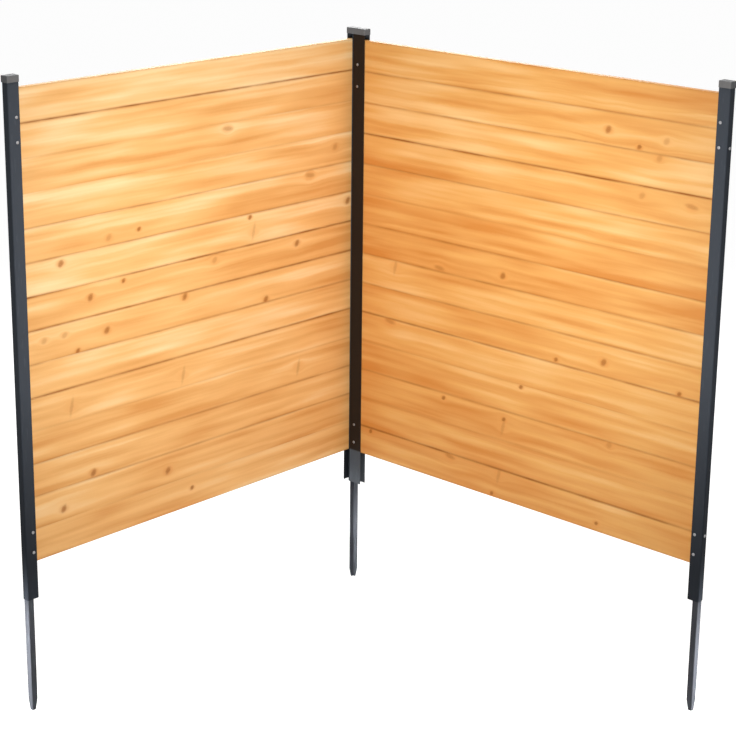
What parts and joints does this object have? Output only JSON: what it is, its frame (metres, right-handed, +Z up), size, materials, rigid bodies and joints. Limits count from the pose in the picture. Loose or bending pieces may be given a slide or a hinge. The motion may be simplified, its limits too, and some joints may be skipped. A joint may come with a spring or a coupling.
{
  "type": "garden privacy screen",
  "caption": "Corner privacy screen for a garden: two panels of horizontal boards at a right angle, held in dark steel channel posts with caps and ground stakes.",
  "frame": {"origin": "centre of the footprint at the level of the stake tips", "axes": "+Z up along the posts, +X along the right panel away from the corner, +Y towards the corner's outer side, so the left panel runs along -Y and the inner side of the V faces +X and -Y"},
  "size_m": [1.1316, 1.0916, 1.488],
  "materials": {
    "boards": "clear-stained softwood with knots, satin",
    "posts": "powder coated, near black, satin",
    "stakes": "powder coated, dark grey, satin",
    "caps": "moulded, dark grey, matt",
    "screws": "zinc plated, bright"
  },
  "bodies": {
    "frame": {"corner_end_screws": "screws", "corner_face_screws": "screws", "corner_left_channel": "posts", "corner_right_channel": "posts", "left_board_01": "boards", "left_board_02": "boards", "left_board_03": "boards", "left_board_04": "boards", "left_board_05": "boards", "left_board_06": "boards", "left_board_07": "boards", "left_board_08": "boards", "left_board_09": "boards", "left_board_10": "boards", "left_board_11": "boards", "left_board_12": "boards", "left_board_13": "boards", "left_board_14": "boards", "left_post_channel": "posts", "left_post_face_screws": "screws", "right_board_01": "boards", "right_board_02": "boards", "right_board_03": "boards", "right_board_04": "boards", "right_board_05": "boards", "right_board_06": "boards", "right_board_07": "boards", "right_board_08": "boards", "right_board_09": "boards", "right_board_10": "boards", "right_board_11": "boards", "right_board_12": "boards", "right_board_13": "boards", "right_board_14": "boards", "right_post_channel": "posts", "right_post_end_screws": "screws", "right_post_face_screws": "screws"},
    "left_cap_body": {"left_cap": "caps"},
    "corner_cap_body": {"corner_cap": "caps"},
    "right_cap_body": {"right_cap": "caps"},
    "left_stake_body": {"left_stake": "stakes"},
    "corner_stake_body": {"corner_stake": "stakes"},
    "right_stake_body": {"right_stake": "stakes"}
  },
  "joints": [
    {"name": "left_cap_lift", "type": "slide", "parent": "frame", "child": "left_cap_body", "axis": [0, 0, 1], "range_m": [0, 0.03]},
    {"name": "corner_cap_lift", "type": "slide", "parent": "frame", "child": "corner_cap_body", "axis": [0, 0, 1], "range_m": [0, 0.03]},
    {"name": "right_cap_lift", "type": "slide", "parent": "frame", "child": "right_cap_body", "axis": [0, 0, 1], "range_m": [0, 0.03]},
    {"name": "left_stake_pull", "type": "slide", "parent": "frame", "child": "left_stake_body", "axis": [0, 0, -1], "range_m": [0, 0.06]},
    {"name": "corner_stake_pull", "type": "slide", "parent": "frame", "child": "corner_stake_body", "axis": [0, 0, -1], "range_m": [0, 0.06]},
    {"name": "right_stake_pull", "type": "slide", "parent": "frame", "child": "right_stake_body", "axis": [0, 0, -1], "range_m": [0, 0.06]}
  ]
}
